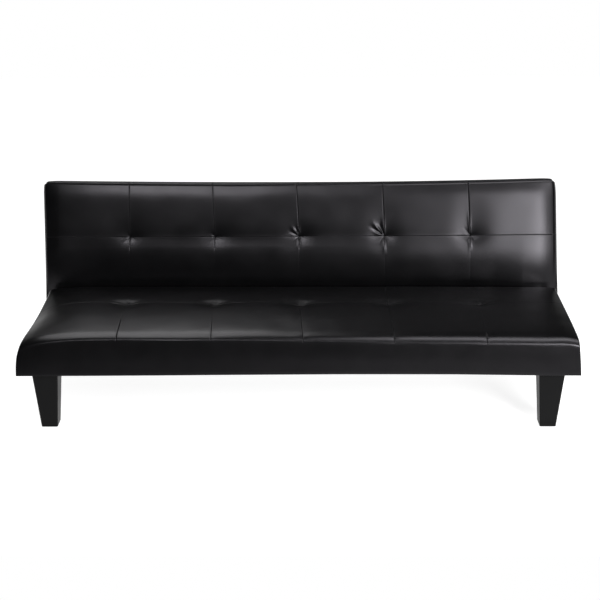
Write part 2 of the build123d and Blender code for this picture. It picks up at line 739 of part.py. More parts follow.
# Elastic webbing from the bottom rail to the top rail
back_strap_count = int(2 * inner_stile_x // strap_pitch)
with BuildPart(back_plane) as back_webbing:
    with Locations((0, back_inner_start, back_frame_face)):
        with GridLocations(strap_pitch, 0, back_strap_count, 1):
            Box(strap_width, back_inner_length, strap_thickness, align=rearward)
back_webbing.part.label = "back_webbing"
export_step(back_webbing.part, "parts/back_webbing.step")

# Cloth panel that closes the rear of the back
with BuildPart() as back_panel:
    with BuildSketch(back_plane.offset(back_rear)):
        with Locations((0, (back_inner_start + back_inner_end) / 2)):
            Rectangle(2 * frame_half, back_inner_length)
    extrude(amount=cloth_thickness)
    add(hinge_pockets.part, mode=Mode.SUBTRACT)
back_panel.part.label = "back_panel"
export_step(back_panel.part, "parts/back_panel.step")

# Hex-headed wood screws that hold the hinge arms to the inner stiles
with BuildPart() as hinge_arm_screws:
    with BuildSketch(back_section(arm_inner_x + plate_thickness)):
        with Locations(*arm_screws):
            RegularPolygon(arm_screw_across / 2, 6, major_radius=False)
    extrude(amount=arm_screw_head)
    with BuildSketch(back_section(arm_inner_x - arm_screw_depth)):
        with Locations(*arm_screws):
            Circle(arm_screw_radius)
    extrude(amount=arm_screw_depth + plate_thickness)
    mirror(about=Plane.YZ)
hinge_arm_screws.part.label = "hinge_arm_screws"
export_step(hinge_arm_screws.part, "parts/hinge_arm_screws.step")
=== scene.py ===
import json
import math

import bpy
import numpy as np
from mathutils import Matrix, Vector


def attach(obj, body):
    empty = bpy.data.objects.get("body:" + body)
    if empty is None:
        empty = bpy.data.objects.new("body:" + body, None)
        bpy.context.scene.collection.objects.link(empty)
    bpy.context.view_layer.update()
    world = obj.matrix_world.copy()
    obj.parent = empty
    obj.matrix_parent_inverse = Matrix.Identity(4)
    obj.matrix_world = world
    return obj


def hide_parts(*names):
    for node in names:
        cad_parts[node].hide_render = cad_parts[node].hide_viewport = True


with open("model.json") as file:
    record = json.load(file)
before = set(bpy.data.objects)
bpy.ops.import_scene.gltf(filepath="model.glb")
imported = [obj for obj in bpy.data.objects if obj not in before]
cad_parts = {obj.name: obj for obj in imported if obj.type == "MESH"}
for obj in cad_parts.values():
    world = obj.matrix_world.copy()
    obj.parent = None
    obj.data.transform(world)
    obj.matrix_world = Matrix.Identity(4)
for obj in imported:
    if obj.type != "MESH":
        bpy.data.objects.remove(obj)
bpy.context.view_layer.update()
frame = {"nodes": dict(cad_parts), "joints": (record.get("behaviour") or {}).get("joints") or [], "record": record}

nodes = frame["nodes"]
scene = bpy.context.scene

# Sizes shared with the CAD source, in metres like all lengths here
HALF = 0.9
SEAMS = [-0.6, -0.3, 0.0, 0.3, 0.6]
LEAN = math.radians(18)
PIVOT = frame["joints"][0]["pos_m"]
SEAT_FRONT = -0.3775

# Each slab is made in a frame of its own: a runs across, b from its front or foot, c out to its face
SEAT_LOW, SEAT_HIGH = (-HALF, 0.0, 0.187), (HALF, 0.5, 0.310)
BACK_LOW, BACK_HIGH = (-HALF, -0.05, -0.059), (HALF, 0.423, 0.045)
# Places of the rows of tufts
SEAT_ROW = 0.330
BACK_ROW = 0.225
# Roundness of the edges, places of the seams at the edges, and a tolerance
SEAT_RADIUS = 0.003
BACK_RADIUS = 0.016
SEAT_BAND = 0.005
BACK_RIM = 0.004
SLIVER = 0.0001
# The hinge pockets in the foot of the back: across from inner to outer, up to their top, in to their roof
POCKET_INNER = 0.7817
POCKET_OUTER = 0.842
POCKET_TOP = 0.060
POCKET_ROOF = 0.038
# The recesses that the cloth under the seat and behind the back lies in
CLOTH_RECESS = 0.0014
SEAT_CLOTH_EDGE = 0.02
BACK_CLOTH_SIDE = 0.0142
BACK_CLOTH_END = 0.019


def fade(distance, reach):
    """1 at no distance, down in a straight line to 0 at the reach."""
    return np.clip(1 - distance / reach, 0, 1)


def climb(value, start, span):
    """0 up to the start, then up in a straight line to 1 over the span."""
    return np.clip((value - start) / span, 0, 1)


def bell(distance, width):
    """1 at no distance, falling away to both sides in a bell curve."""
    return np.exp(-((distance / width) ** 2))


# Meshes

SHARP_ANGLE = math.radians(55)
# Turns round a rounded edge at which it has a line, in degrees
ROUND_TURNS = (33.75, 22.5, 11.25, 0)
# Distances of the lines on both sides of a mark, in millimetres
NEAR_MARK = (0, 0.55, 1.1, 2, 3.2, 4.6, 6.2, 8, 10.5, 13, 16, 19, 22, 25.5, 29, 33, 37, 41, 46, 52, 60, 70)
MILLIMETRE = 0.001
# Half the gap of a wall's two lines, the room kept free round them, and the least step between lines
WALL_HALF = 0.0003
WALL_CLEAR = 0.0015
LEAST_STEP = 0.0004


def new_object(name, points, faces):
    """A mesh object of the given points and faces, in the scene."""
    mesh = bpy.data.meshes.new(name)
    mesh.from_pydata([tuple(p) for p in points], [], [tuple(int(i) for i in f) for f in faces])
    mesh.validate()
    mesh.update()
    obj = bpy.data.objects.new(name, mesh)
    scene.collection.objects.link(obj)
    return obj


def smooth_all(obj):
    """Smooth shading, with sharp edges kept where faces meet at more than the sharp angle."""
    mesh = obj.data
    mesh.polygons.foreach_set("use_smooth", np.ones(len(mesh.polygons), bool))
    mesh.set_sharp_from_angle(angle=SHARP_ANGLE)


def even_lines(low, high, step):
    """Evenly spaced grid lines, about a step apart."""
    return np.linspace(low, high, max(2, int(round((high - low) / step)) + 1))


def graded_lines(low, high, marks, step, radius, walls=()):
    """Grid lines: tight round the edges and marks, wider between, and doubled where a wall stands."""
    lines = [low, high]
    for turn in ROUND_TURNS:
        off = radius * (1 - math.tan(math.radians(turn)))
        lines += [low + off, high - off]
    for mark, reach in marks:
        for near in NEAR_MARK:
            off = near * MILLIMETRE
            if off <= reach:
                lines += [mark - off, mark + off]
    doubled = [wall + side for wall in walls for side in (-WALL_HALF, WALL_HALF)]
    lines = [x for x in lines if low <= x <= high and all(abs(x - w) > WALL_CLEAR for w in doubled)]
    lines = np.unique(np.round(np.array(lines + doubled), 5))
    kept = [lines[0]]
    for x in lines[1:]:
        if x - kept[-1] > LEAST_STEP:
            kept.append(x)
    kept[-1] = high
    filled = []
    for start, end in zip(kept[:-1], kept[1:]):
        count = max(1, int(math.ceil((end - start) / step)))
        filled += list(np.linspace(start, end, count, endpoint=False))
    return np.array(filled + [high])


def box_surface(xs, ys, zs):
    """Vertices, faces and index grid of a box's surface, gridded along the given lines."""
    shape = (len(xs), len(ys), len(zs))
    on = np.zeros(shape, bool)
    on[[0, -1]] = True
    on[:, [0, -1]] = True
    on[:, :, [0, -1]] = True
    index = np.full(shape, -1)
    index[on] = np.arange(on.sum())
    i, j, k = np.nonzero(on)

    def quads(grid, flip):
        corners = np.stack([grid[:-1, :-1], grid[1:, :-1], grid[1:, 1:], grid[:-1, 1:]], -1)
        corners = corners.reshape(-1, 4)
        return corners[:, ::-1] if flip else corners

    faces = np.concatenate([
        quads(index[:, :, -1], False), quads(index[:, :, 0], True),
        quads(index[:, 0, :], False), quads(index[:, -1, :], True),
        quads(index[0], True), quads(index[-1], False),
    ])
    return np.stack([xs[i], ys[j], zs[k]], 1), faces, index


def rounded(points, low, high, radius):
    """The box's points moved on to a box of the same size with rounded edges, and the way each faces."""
    inner = np.clip(points, low + radius, high - radius)
    out = points - inner
    way = out / np.linalg.norm(out, axis=1)[:, None]
    return inner + radius * way, way


def resample(grid, old, new, axis):
    """Smooth cubic values of a grid at new lines along one axis."""
    grid = np.moveaxis(grid, axis, 0)
    slope = np.gradient(grid, old, axis=0)
    at = np.clip(np.searchsorted(old, new) - 1, 0, len(old) - 2)
    span = old[at + 1] - old[at]
    way = ((new - old[at]) / span).reshape((-1,) + (1,) * (grid.ndim - 1))
    span = span.reshape(way.shape)
    value = (
        grid[at] * (2 * way**3 - 3 * way**2 + 1) + slope[at] * span * (way**3 - 2 * way**2 + way)
        + grid[at + 1] * (3 * way**2 - 2 * way**3) + slope[at + 1] * span * (way**3 - way**2)
    )
    return np.moveaxis(value, 0, axis)


# Cloth simulation of the covers

# Step of the coarse grid, inset of the start, frames, furthest movement and rounds of evening out
SIM_STEP = 0.016
SIM_INSET = 0.003
SIM_FRAMES = 20
SIM_LIMIT = 0.010
SIM_EVENINGS = 6
SIM_TOP_FROM = 0.5
CLOTH = dict(
    quality=5, mass=0.3, tension_stiffness=18, compression_stiffness=18, shear_stiffness=8,
    bending_stiffness=8, use_pressure=True, uniform_pressure_force=4, shrink_min=0, vertex_group_mass="pin",
)
# The foot of the cover is tacked to the frame, its seams hold a little and its tufts fast
TACKED_HEIGHT = 0.035
TACKED_FADE = 0.015
SEWN_HOLD = 0.30
SEWN_WIDTH = 0.012
TUFT_WIDTH = 0.014
TUFT_DIP = 0.006
TUFT_DIP_REACH = 0.03
LEAST_HOLD = 0.01


def swell(name, low, high, radius, row):
    """Movement of the cover on a coarse grid: air pressure against sewn seams and tufts."""
    lines = [even_lines(low[n], high[n], SIM_STEP) for n in range(3)]
    box, faces, index = box_surface(*lines)
    start, way = rounded(box, low + SIM_INSET, high - SIM_INSET, radius)
    top = way[:, 2] > SIM_TOP_FROM
    tacked = climb(low[2] + TACKED_HEIGHT - start[:, 2], 0, TACKED_FADE)
    sewn = SEWN_HOLD * bell(start[:, 1] - row, SEWN_WIDTH)
    for seam in SEAMS:
        near = np.hypot(start[:, 0] - seam, start[:, 1] - row)
        sewn = np.maximum(sewn, SEWN_HOLD * bell(start[:, 0] - seam, SEWN_WIDTH))
        sewn = np.maximum(sewn, bell(near, TUFT_WIDTH))
        start[:, 2] -= top * TUFT_DIP * np.exp(-near / TUFT_DIP_REACH)
    obj = new_object(name + "_sim", start, faces)
    group = obj.vertex_groups.new(name="pin")
    for n, hold in enumerate(np.maximum(tacked, sewn * top)):
        if hold > LEAST_HOLD:
            group.add([n], float(hold), "REPLACE")
    cloth = obj.modifiers.new("cloth", "CLOTH")
    for key, value in CLOTH.items():
        setattr(cloth.settings, key, value)
    cloth.settings.effector_weights.gravity = 0
    cloth.collision_settings.use_collision = False
    cloth.point_cache.frame_start = 1
    cloth.point_cache.frame_end = SIM_FRAMES
    for step in range(1, SIM_FRAMES + 1):
        scene.frame_set(step)
    shaped = obj.evaluated_get(bpy.context.evaluated_depsgraph_get()).to_mesh()
    end = np.zeros(len(start) * 3, np.float32)
    shaped.vertices.foreach_get("co", end)
    moved = end.reshape(-1, 3).astype(float) - start
    size = np.linalg.norm(moved, axis=1)
    moved *= np.minimum(1, SIM_LIMIT / np.maximum(size, 1e-9))[:, None]
    bpy.data.objects.remove(obj)
    scene.frame_set(1)
    return lines, index, evened(moved, faces, SIM_EVENINGS)


def evened(values, faces, rounds):
    """The values averaged with those of their neighbours, a few times over."""
    pairs = np.concatenate([faces[:, [n, (n + 1) % 4]] for n in range(4)])
    first, second = pairs.T
    count = np.bincount(first, minlength=len(values)) + np.bincount(second, minlength=len(values))
    for _ in range(rounds):
        total = np.zeros_like(values)
        np.add.at(total, first, values[second])
        np.add.at(total, second, values[first])
        values = 0.5 * values + 0.5 * total / count[:, None]
    return values


def carried(lines, index, moved, fine_lines, fine_index, count):
    """The coarse movement carried over to the fine grid, side by side."""
    result = np.zeros((count, 3))
    for axis in range(3):
        rest = [n for n in range(3) if n != axis]
        for end in (0, -1):
            coarse = moved[np.take(index, end, axis)]
            for n in range(2):
                coarse = resample(coarse, lines[rest[n]], fine_lines[rest[n]], n)
            result[np.take(fine_index, end, axis).ravel()] = coarse.reshape(-1, 3)
    return result


# Quilting

# A seam's depth and half width, and the wider pull on the cover beside it
SEAM_DEPTH = 0.0018
SEAM_HALF = 0.0011
SEAM_PULL = 0.0004
SEAM_PULL_REACH = 0.030
# The cross seam stops short of both ends
ROW_END = 0.002
ROW_END_FADE = 0.02
# Where a seam ends at the front edge, the cover puckers
PUCKER_PLACE = 0.020
PUCKER_REACH = 0.007
# The stitch at the heart of a tuft's dimple
STITCH_DEPTH = 0.35
STITCH_REACH = 0.012
# Slight lumps of the padding: how many waves, the range of their lengths, and how steep they are
LUMPS = 16
LUMP_LENGTHS = (0.07, 0.26)
LUMP_STEEPNESS = 0.0007
# Short creases round a tuft, by turns a ridge and a furrow; angles in degrees
CREASES_PER_TUFT = 7
FIRST_CREASE = 20
CREASE_STRAY = 0.25
CREASE_RIDGE = 0.0006
CREASE_FURROW = -0.0007
CREASE_STRENGTHS = (0.4, 1.2)
CREASE_LENGTHS = (0.022, 0.040)
CREASE_WIDTH = 0.0042
STRONG_WIDTH = 0.0048
# Shape of a crease along its length
RIDGE_ROOT = 0.45
RIDGE_SPREAD = 0.9
RIDGE_POWER = 0.55
# Shape of the face's swell
CROWN_FOOT_MOST = 1.6
CROWN_HEAD_POWER = 2.4
CROWN_LEFT_FROM = 0.10
CROWN_LEFT_SPAN = 0.18


def ridge(a, b, centre, angle, length, width, height):
    """One crease running out from a tuft: narrow at its root, fading along its length."""
    cosine = math.cos(math.radians(angle))
    sine = math.sin(math.radians(angle))
    along = (a - centre[0]) * cosine + (b - centre[1]) * sine
    across = (b - centre[1]) * cosine - (a - centre[0]) * sine
    share = np.clip(along / length, 0, 1)
    strength = np.sin(math.pi * share**RIDGE_POWER) * (along > 0)
    return height * strength * bell(across, width * (RIDGE_ROOT + RIDGE_SPREAD * share))


def seam_line(distance, depth=SEAM_DEPTH, half=SEAM_HALF):
    """Profile across a sewn seam: a narrow V where the two panels turn in."""
    return -depth * fade(np.abs(distance), half)


def quilt(a, b, row, settings):
    """Height of the quilting above the plain slab: seams, tufts and creases."""
    height = settings["row_shown"] * seam_line(b - row) * climb(HALF - np.abs(a), ROW_END, ROW_END_FADE)
    draw = np.zeros_like(a)
    above = np.clip(b - row, 0, None)
    below = np.clip(row - b, 0, None)
    for n, seam in enumerate(SEAMS):
        beside = a - seam
        height += seam_line(beside, half=settings["groove"][n]) * settings["shown"](n, b)
        height -= SEAM_PULL * np.exp(-np.abs(beside) / SEAM_PULL_REACH)
        draw += settings["pucker"][n] * np.exp(-np.hypot(beside, b - PUCKER_PLACE) / PUCKER_REACH)
        draw += settings["dimple"](beside, above, below)
        draw += STITCH_DEPTH * np.exp(-np.hypot(beside, b - row) / STITCH_REACH)
    height -= settings["tuft"] * draw
    for crease in settings["creases"]:
        height += ridge(a, b, *crease)
    return height


def unevenness(a, b, seed):
    """Slight lumps of the padding under the cover, as a sum of long waves."""
    rng = np.random.default_rng(seed)
    height = np.zeros_like(a)
    for _ in range(LUMPS):
        wave = rng.uniform(*LUMP_LENGTHS)
        turn = rng.uniform(0, math.pi)
        start = rng.uniform(0, 2 * math.pi)
        along = a * math.cos(turn) + b * math.sin(turn)
        height += LUMP_STEEPNESS * wave * np.sin(2 * math.pi * along / wave + start)
    return height


def crown(a, b, low, high, full, rise, foot, head, left, left_reach, right, right_reach):
    """Swell of the face: fullest at height full, falling away to its foot, its head and both ends."""
    under = np.clip((full - b) / (full - foot), 0, CROWN_FOOT_MOST)
    over = climb(b, full, high[1] - full)
    left = left * climb(b, low[1] + CROWN_LEFT_FROM, CROWN_LEFT_SPAN)
    left_end = 1 - left * np.exp(-(HALF + a) / left_reach)
    right_end = 1 - right * np.exp(-(HALF - a) / right_reach)
    return np.maximum(rise - rise * under**2 - head * over**CROWN_HEAD_POWER, 0) * left_end * right_end


def tuft_creases(row, seed, strong):
    """A few short creases round each tuft, and the strong ones where the cover is pulled at a slant."""
    rng = np.random.default_rng(seed)
    found = []
    for n, seam in enumerate(SEAMS):
        for step in range(CREASES_PER_TUFT):
            place = step + rng.uniform(-CREASE_STRAY, CREASE_STRAY)
            angle = 360 * place / CREASES_PER_TUFT + FIRST_CREASE
            height = (CREASE_RIDGE if step % 2 else CREASE_FURROW) * rng.uniform(*CREASE_STRENGTHS)
            length = rng.uniform(*CREASE_LENGTHS)
            found.append(((seam, row), angle, length, CREASE_WIDTH, height))
        for angle, length, height in strong.get(n, []):
            found.append(((seam, row), angle, length, STRONG_WIDTH, height))
    return found


# Slabs

# The underside is cut level this share of the radius above the lowest point of the rounded box
LEVELLED = 0.75
# Reach of the tight lines round the seams and edges, and the widest steps between lines
SEAM_MARK = 0.07
EDGE_MARK = 0.005
STEP_ACROSS = 0.012
STEP_ALONG = 0.010
STEP_UP = 0.012
# How far a point must face out of the slab to be quilted, and to be creased
QUILTED_FROM = 0.35
CREASED_FROM = 0.3
# The long edges are drawn in, most of all at the middle of the slab's width
WAIST = 0.005
# The seam round the edge, and the welt beside it
EDGE_SEAM_DEPTH = 0.0014
WELT_OFF = 0.0035
WELT_WIDTH = 0.002
# How far creasing reaches from the edge seam, the other seams and the tufts, for the cover's material
EDGE_CREASING = 0.0022
SEAM_CREASING = 0.0018
TUFT_CREASING = 0.007
TUFT_SHARE = 0.6


def slab_lines(low, high, row, settings):
    """Grid lines of a slab across, along and up, tight round its seams and edges."""
    radius = settings["radius"]
    rim = settings["rim_mark"]
    across = [(seam, SEAM_MARK) for seam in SEAMS] + [(-HALF + rim, EDGE_MARK), (HALF - rim, EDGE_MARK)]
    along = [(row, SEAM_MARK), (high[1] - rim, EDGE_MARK), (low[1] + rim, EDGE_MARK)]
    up = [(high[2] - settings["band_mark"], EDGE_MARK)]
    return [
        graded_lines(low[0], high[0], across, STEP_ACROSS, radius, settings["walls_across"]),
        graded_lines(low[1], high[1], along, STEP_ALONG, radius, settings["walls_along"]),
        graded_lines(low[2], high[2], up, STEP_UP, radius),
    ]


def creasing(a, b, top, edge, row, settings):
    """How strongly the cover is creased at each point: at its seams and tufts."""
    face = top > CREASED_FROM
    most = settings["edge_shown"] * np.exp(-edge / EDGE_CREASING)
    most = np.maximum(most, settings["row_shown"] * face * np.exp(-np.abs(b - row) / SEAM_CREASING))
    for n, seam in enumerate(SEAMS):
        along_seam = settings["shown"](n, b) * np.exp(-np.abs(a - seam) / SEAM_CREASING)
        at_tuft = TUFT_SHARE * np.exp(-np.hypot(a - seam, b - row) / TUFT_CREASING)
        most = np.maximum(most, face * np.maximum(along_seam, at_tuft))
    return most


def make_slab(name, low, high, row, settings, body):
    """A quilted slab as one closed mesh, worked out in its own frame and then set in place."""
    low = np.array(low)
    high = np.array(high)
    radius = settings["radius"]
    lowest = low - (0, 0, LEVELLED * radius)
    lines = slab_lines(lowest, high, row, settings)
    box, faces, index = box_surface(*lines)
    points, way = rounded(box, lowest, high, radius)
    a, b, c = box.T
    top = np.clip(way[:, 2], 0, 1)
    middle = (low[1] + high[1]) / 2

    coarse, coarse_index, moved = swell(name, low, high, radius, row)
    fine = [np.clip(n, m[0], m[-1]) for n, m in zip(lines, coarse)]
    moved = carried(coarse, coarse_index, moved, fine, index, len(points))
    points += moved * (settings["sides"] + (settings["swell"] - settings["sides"]) * top[:, None])

    waist = WAIST * np.cos(math.pi * a / (2 * HALF))
    points[:, 1] -= waist * (b - middle) / (high[1] - middle)
    points[:, 2] += top * crown(a, b, low, high, **settings["crown"])
    height = quilt(a, b, row, settings) * (way[:, 2] > QUILTED_FROM)
    points += way * (height + unevenness(a, b, settings["seed"]) * top**2)[:, None]

    # The seam that joins the quilted panel to the band round its edge
    edge = settings["edge_seam"](a, b, c, low, high)
    seam = settings["edge_shown"] * seam_line(edge, EDGE_SEAM_DEPTH)
    points += way * (seam + settings["welt"] * bell(edge - WELT_OFF, WELT_WIDTH))[:, None]

    settings["shape"](points, box, way, low, high)
    points[:, 2] = np.maximum(points[:, 2], low[2])
    settings["cut"](points, box, low, high)

    obj = new_object(name, settings["origin"] + points @ np.array(settings["axes"]), faces)
    layer = obj.data.attributes.new("crease", "FLOAT", "POINT")
    layer.data.foreach_set("value", creasing(a, b, top, edge, row, settings).astype(np.float32))
    smooth_all(obj)
    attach(obj, body)
    return obj


def stray(a, first, second, share):
    """How far the seams stray sideways, between two lists of values at the ends and the five seams."""
    knots = [-HALF, *SEAMS, HALF]
    return (1 - share) * np.interp(a, knots, first) + share * np.interp(a, knots, second)


# Seat

# How far each seam strays sideways at the front edge and at the row of tufts, with the ends at 0
SEAT_FRONT_STRAY = [0, 0.023, 0.024, 0.016, 0.006, -0.001, 0]
SEAT_ROW_STRAY = [0, 0.020, 0.014, 0.002, 0, 0.005, 0]
# How far back from the front edge each seam stays open, and what shows of it beyond
SEAT_SEAM_REACH = [0.20, 0.20, 0.30, 0.50, 0.06]
SEAT_SEAM_FADE = 0.07
SEAT_SEAM_REST = 0.12
# The slack left end: its width and how far it hangs, with shares at the front, less behind and more between
LEFT_SLACK = 0.20
LEFT_HANG = 0.027
HANG_AT_FRONT = 0.5
HANG_LESS_BEHIND = 0.3
HANG_BETWEEN = 0.75
HANG_BETWEEN_SPAN = 0.95
# The left end is also drawn in, at the front and more behind
LEFT_DRAW = 0.010
LEFT_DRAW_BEHIND = 0.022
# The right end is drawn in a little, and the right part of the seat falls towards it
RIGHT_SLACK = 0.08
RIGHT_DRAW = 0.008
RIGHT_FALL = 0.003
RIGHT_FALL_BEHIND = 0.003
RIGHT_FALL_FROM = 0.3
# Both front corners droop
LEFT_DROOP = 0.022
RIGHT_DROOP = 0.008
LEFT_DROOP_ACROSS = 0.06
RIGHT_DROOP_ACROSS = 0.05
DROOP_ALONG = 0.05
# The front edge rolls over, tightly at the left and more softly at the right, and leans back
SOFT_FROM = -0.3
SOFT_SPAN = 0.6
ROLL_DROP = 0.0035
ROLL_DROP_SOFT = 0.0095
ROLL_REACH = 0.020
ROLL_REACH_SOFT = 0.008
FRONT_LEAN = 0.009
FRONT_LEAN_LEFT = 0.008
FRONT_LEAN_FROM = -0.3
FRONT_LEAN_SPAN = 0.9
FRONT_LEAN_REACH = 0.06
# The top falls towards the front, swells a little at the edge, and rises and pushes against the back behind
SHOULDER = 0.0003
SHOULDER_FALL = 0.007
SHOULDER_REACH = 0.24
SHOULDER_EDGE = 0.0015
SHOULDER_EDGE_REACH = 0.07
REAR_RISE = 0.006
REAR_PUSH = 0.008
REAR_PUSH_FROM = 0.8
# The lower edge of the front bows up between its corners
LIP_AT = [-0.7, -0.3, 0.15, 0.5, 0.7, 0.88]
LIP_RISE = [0, 0.003, 0.0058, 0.0058, 0.003, 0]
LIP_DEPTH = 0.0142
LIP_HEIGHT = 0.3
# A tuft's dimple: its depth as a share of the tuft's, and how far it reaches to each side, up and down
DIMPLE_DEPTH = 0.85
SEAT_DIMPLE_ACROSS = 0.050
SEAT_DIMPLE_ABOVE = 0.022
SEAT_DIMPLE_BELOW = 0.040


def seat_shown(n, b):
    """How much of a seam shows at each place along it."""
    return SEAT_SEAM_REST + (1 - SEAT_SEAM_REST) * climb(SEAT_SEAM_REACH[n] - b, 0, SEAT_SEAM_FADE)


def seat_dimple(beside, above, below):
    """Depth of a tuft's dimple, which falls away softly on all sides."""
    up_and_down = bell(above, SEAT_DIMPLE_ABOVE) * bell(below, SEAT_DIMPLE_BELOW)
    return DIMPLE_DEPTH * bell(beside, SEAT_DIMPLE_ACROSS) * up_and_down


def seat_edge_seam(a, b, c, low, high):
    """Distance from the seam under the roll of the seat's top edge."""
    return np.where(c < high[2] - SLIVER, np.abs(c - high[2] + SEAT_BAND), 1)


def seat_ends(points, a, b, deep, up):
    """Sag of the seat's two ends."""
    left = climb(-a, HALF - LEFT_SLACK, LEFT_SLACK)
    between = np.sin(HANG_BETWEEN_SPAN * math.pi * deep)
    hang = HANG_AT_FRONT - HANG_LESS_BEHIND * deep + HANG_BETWEEN * between
    points[:, 2] -= LEFT_HANG * left**1.8 * up**2 * hang
    points[:, 0] += (LEFT_DRAW + LEFT_DRAW_BEHIND * deep) * left**2 * up**2
    right = climb(a, HALF - RIGHT_SLACK, RIGHT_SLACK)
    points[:, 0] -= RIGHT_DRAW * right**2 * up
    fall = RIGHT_FALL + RIGHT_FALL_BEHIND * deep
    points[:, 2] -= fall * climb(a, RIGHT_FALL_FROM, HALF - RIGHT_FALL_FROM) ** 2 * up**2
    left_droop = LEFT_DROOP * np.exp(-(HALF + a) / LEFT_DROOP_ACROSS - b / DROOP_ALONG)
    right_droop = RIGHT_DROOP * np.exp(-(HALF - a) / RIGHT_DROOP_ACROSS - b / DROOP_ALONG)
    points[:, 2] -= (left_droop + right_droop) * up**2


def seat_top(points, a, deep, up, behind, lift):
    """Roll and lean of the front edge, and the rise of the top towards the back."""
    soft = climb(a, SOFT_FROM, SOFT_SPAN)
    drop = ROLL_DROP + ROLL_DROP_SOFT * soft
    points[:, 2] -= drop * fade(behind, ROLL_REACH + ROLL_REACH_SOFT * soft) ** 2 * lift**1.5
    lean = FRONT_LEAN + FRONT_LEAN_LEFT * climb(-a, FRONT_LEAN_FROM, FRONT_LEAN_SPAN)
    points[:, 1] += lean * fade(behind, FRONT_LEAN_REACH) * lift
    points[:, 1] += REAR_PUSH * climb(deep, REAR_PUSH_FROM, 1 - REAR_PUSH_FROM) * up
    points[:, 2] += REAR_RISE * deep * up
    shoulder = SHOULDER - SHOULDER_FALL * fade(behind, SHOULDER_REACH) ** 2
    shoulder += SHOULDER_EDGE * fade(behind, SHOULDER_EDGE_REACH) ** 2
    points[:, 2] += shoulder * lift**2


def seat_shape(points, box, way, low, high):
    """The seat's sag, rolls and stray seams, from each point's place on the plain box."""
    a, b, c = box.T
    deep = climb(b, low[1], high[1] - low[1])
    up = climb(c, low[2], high[2] - low[2])
    # Distance behind the front face, and height up to where the edge starts to round
    behind = np.clip(b, SEAT_RADIUS, None) + SEAT_RADIUS * np.minimum(way[:, 1], 0)
    lift = climb(c, low[2], high[2] - SEAT_RADIUS - low[2])
    seat_ends(points, a, b, deep, up)
    seat_top(points, a, deep, up, behind, lift)
    points[:, 2] += np.interp(a, LIP_AT, LIP_RISE) * fade(b, LIP_DEPTH) * fade(up, LIP_HEIGHT)
    points[:, 0] += up * stray(a, SEAT_ROW_STRAY, SEAT_FRONT_STRAY, fade(b, SEAT_ROW))
    within = (np.abs(a) < HALF - SEAT_CLOTH_EDGE) & (b > low[1] + SEAT_CLOTH_EDGE)
    recess = within & (b < high[1] - SEAT_CLOTH_EDGE) & (c < low[2] + SLIVER)
    points[recess, 2] = low[2] + CLOTH_RECESS


def no_cut(points, box, low, high):
    """The seat has no pockets."""


# How the cover is pulled at the seat's tufts, by seam: angle in degrees, length and height of each crease
seat_strong = {
    0: [(4, 0.060, 0.0026), (177, 0.060, 0.0026), (60, 0.03, 0.0014), (122, 0.03, 0.0014)],
    1: [(2, 0.050, 0.0018), (178, 0.050, 0.0016)],
    2: [(3, 0.040, 0.0016), (176, 0.040, 0.0018)],
    3: [(4, 0.040, 0.0014), (175, 0.030, 0.0012)],
    4: [(3, 0.050, 0.0020), (177, 0.050, 0.0020), (90, 0.03, 0.0016)],
}
seat_settings = {
    "origin": (0, SEAT_FRONT, 0),
    "axes": [(1, 0, 0), (0, 1, 0), (0, 0, 1)],
    "radius": SEAT_RADIUS,
    "rim_mark": 0.006,
    "band_mark": SEAT_BAND,
    "walls_across": (),
    "walls_along": (),
    "swell": 0.5,
    "sides": 0.12,
    "crown": dict(
        full=0.30, rise=0.005, foot=-0.06, head=0.001, left=1, left_reach=0.04, right=0.4, right_reach=0.02
    ),
    "seed": 21,
    "tuft": 0.0095,
    "groove": (0.0014, 0.0011, 0.0011, 0.0011, 0.0011),
    "pucker": (0, 0.08, 0.25, 0.25, 0.3),
    "creases": tuft_creases(SEAT_ROW, seed=3, strong=seat_strong),
    "shown": seat_shown,
    "row_shown": 0.25,
    "dimple": seat_dimple,
    "edge_seam": seat_edge_seam,
    "edge_shown": 0.08,
    "welt": 0,
    "shape": seat_shape,
    "cut": no_cut,
}

# Back

# How far each seam strays sideways at the row of tufts and at the top edge, with the ends at 0
BACK_ROW_STRAY = [0, 0.010, 0.006, 0, -0.003, -0.005, 0]
BACK_TOP_STRAY = [0, 0.007, -0.002, -0.009, -0.009, -0.012, 0]
# The seams show from the row of tufts upwards
BACK_SEAM_FROM = 0.17
BACK_SEAM_FADE = 0.05
BACK_SEAM_REST = 0.06
# The foot of the face rolls under towards the seat, less so at both ends
FOOT_ROLL = 0.026
FOOT_ROLL_FROM = 0.188
FOOT_ROLL_SPAN = 0.13
FOOT_ROLL_MOST = 1.3
FOOT_ROLL_AT_ENDS = 0.68
FOOT_ROLL_END = 0.12
FOOT_ROLL_END_FADE = 0.1
# The face stands clear of the hinge pockets by this much, with slopes round them
POCKET_COVER = 0.004
POCKET_SLOPE_ACROSS = 0.35
POCKET_SLOPE_UP = 1.5
POCKET_SLOPE_FROM = 0.006
POCKET_SOFTNESS = 0.001
POCKET_FACING = 4
OVERFLOW_LIMIT = 30
# Both ends lie further right towards the foot, the upper corners are round and the right end stands higher
END_LEAN = 0.009
END_LEAN_REACH = 0.055
CORNER_REACH = 0.02
CORNER_IN = 0.0065
CORNER_SHIFT = 0.0015
CORNER_DOWN = 0.007
RIGHT_RISE = 0.006
# The row of tufts hangs a little at the left
ROW_HANG = 0.003
ROW_HANG_WIDTH = 0.1
# How far a tuft's dimple reaches to each side, up and down
BACK_DIMPLE_ACROSS = 0.046
BACK_DIMPLE_ABOVE = 0.034
BACK_DIMPLE_BELOW = 0.032


def back_shown(n, b):
    """How much of a seam shows at each place along it, the same for all seams."""
    return BACK_SEAM_REST + (1 - BACK_SEAM_REST) * climb(b, BACK_SEAM_FROM, BACK_SEAM_FADE)


